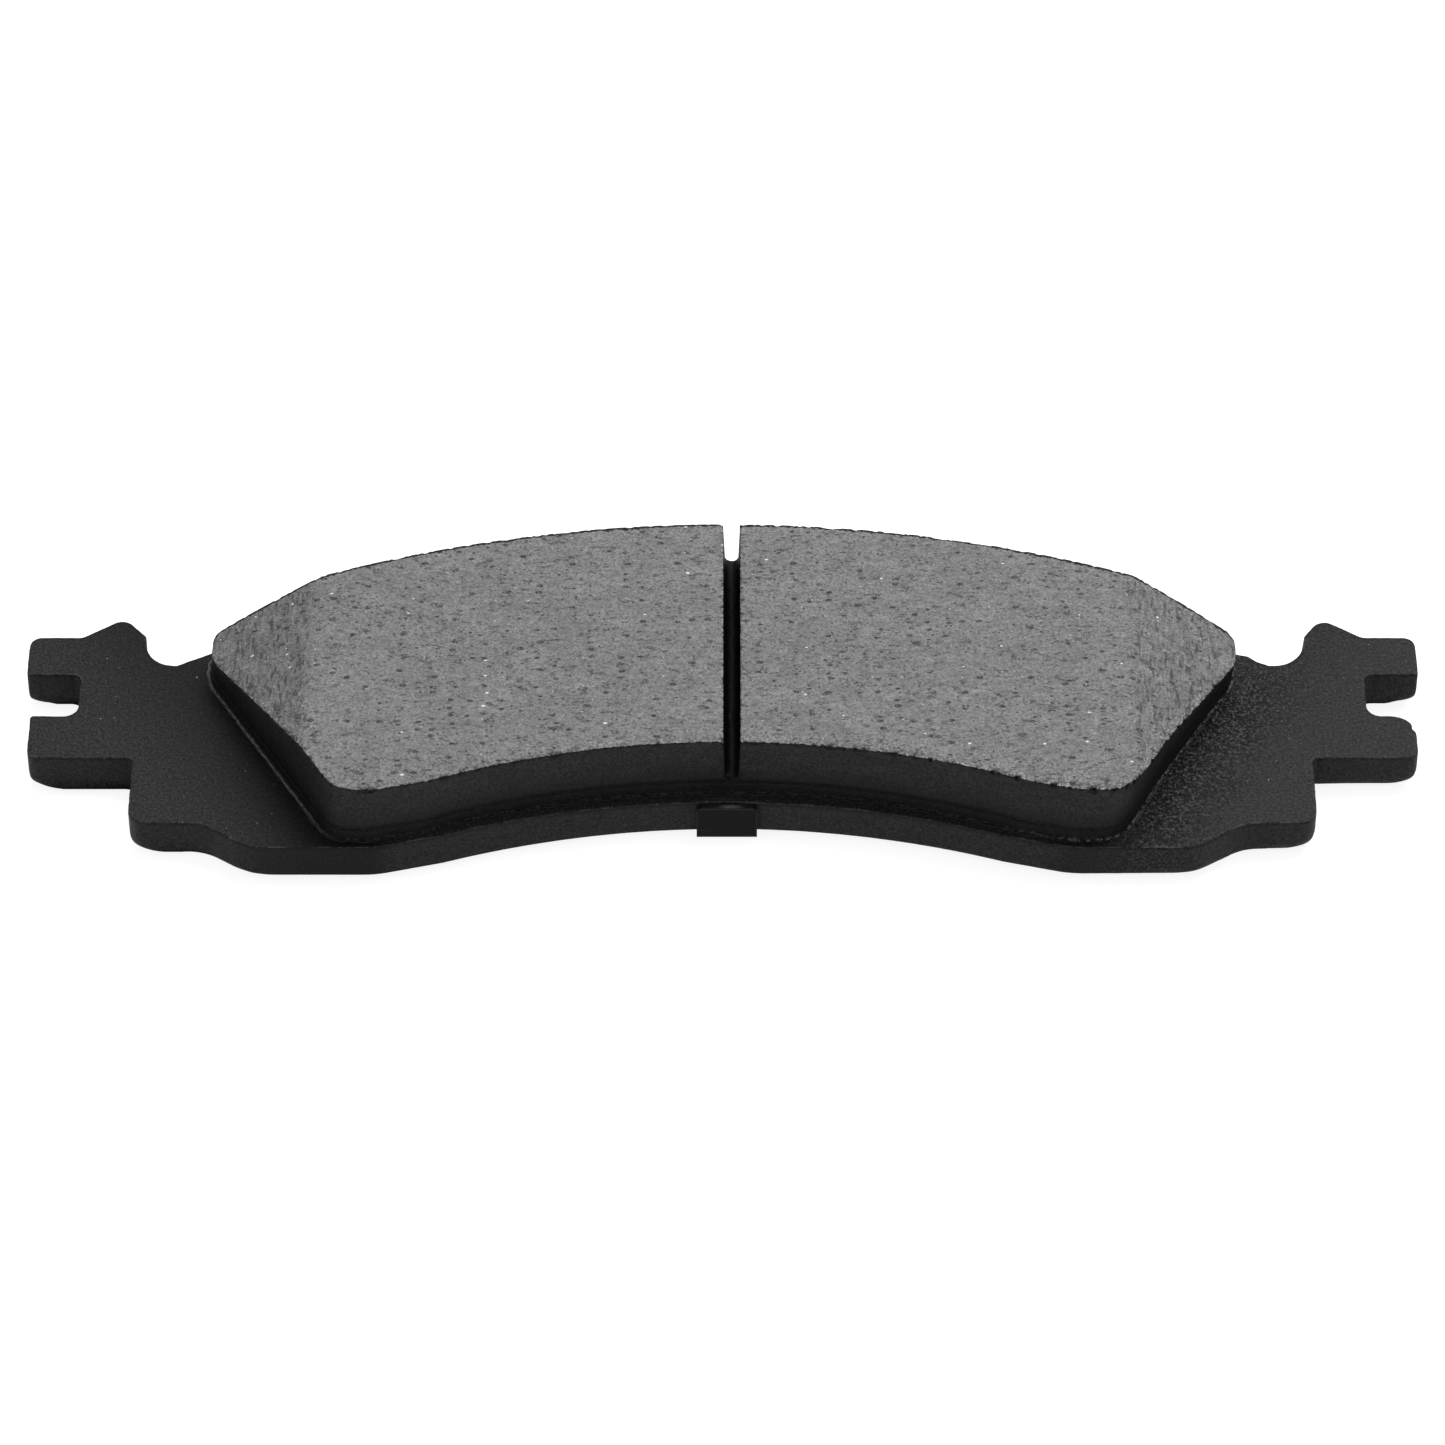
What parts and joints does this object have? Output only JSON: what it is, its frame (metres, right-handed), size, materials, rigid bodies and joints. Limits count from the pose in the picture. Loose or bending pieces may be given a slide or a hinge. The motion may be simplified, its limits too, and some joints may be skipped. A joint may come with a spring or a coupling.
{
  "type": "disc brake pad",
  "caption": "Disc brake pad: a curved friction block with chamfered ends and a centre groove, bonded to a steel backing plate with slotted ears and a clip-on shim.",
  "frame": {"origin": "bottom centre of the pad: the middle of its length and width, at the outer face of the shim that it lies on", "axes": "+X along the pad from ear to ear, +Y away from the disc's axis, +Z from the shim to the friction face"},
  "size_m": [0.1966, 0.0554, 0.0165],
  "materials": {
    "friction": "matte",
    "underlayer": "matte",
    "adhesive": "matte",
    "plate_paint": "satin",
    "shim_steel": "satin",
    "shim_rubber": "matte"
  },
  "bodies": {
    "root": {"friction_block": "friction", "underlayer": "underlayer", "bond_film": "adhesive", "backing_plate": "plate_paint", "shim_adhesive": "adhesive", "shim_inner_rubber": "shim_rubber", "shim_steel_core": "shim_steel", "shim_outer_rubber": "shim_rubber"}
  },
  "joints": []
}
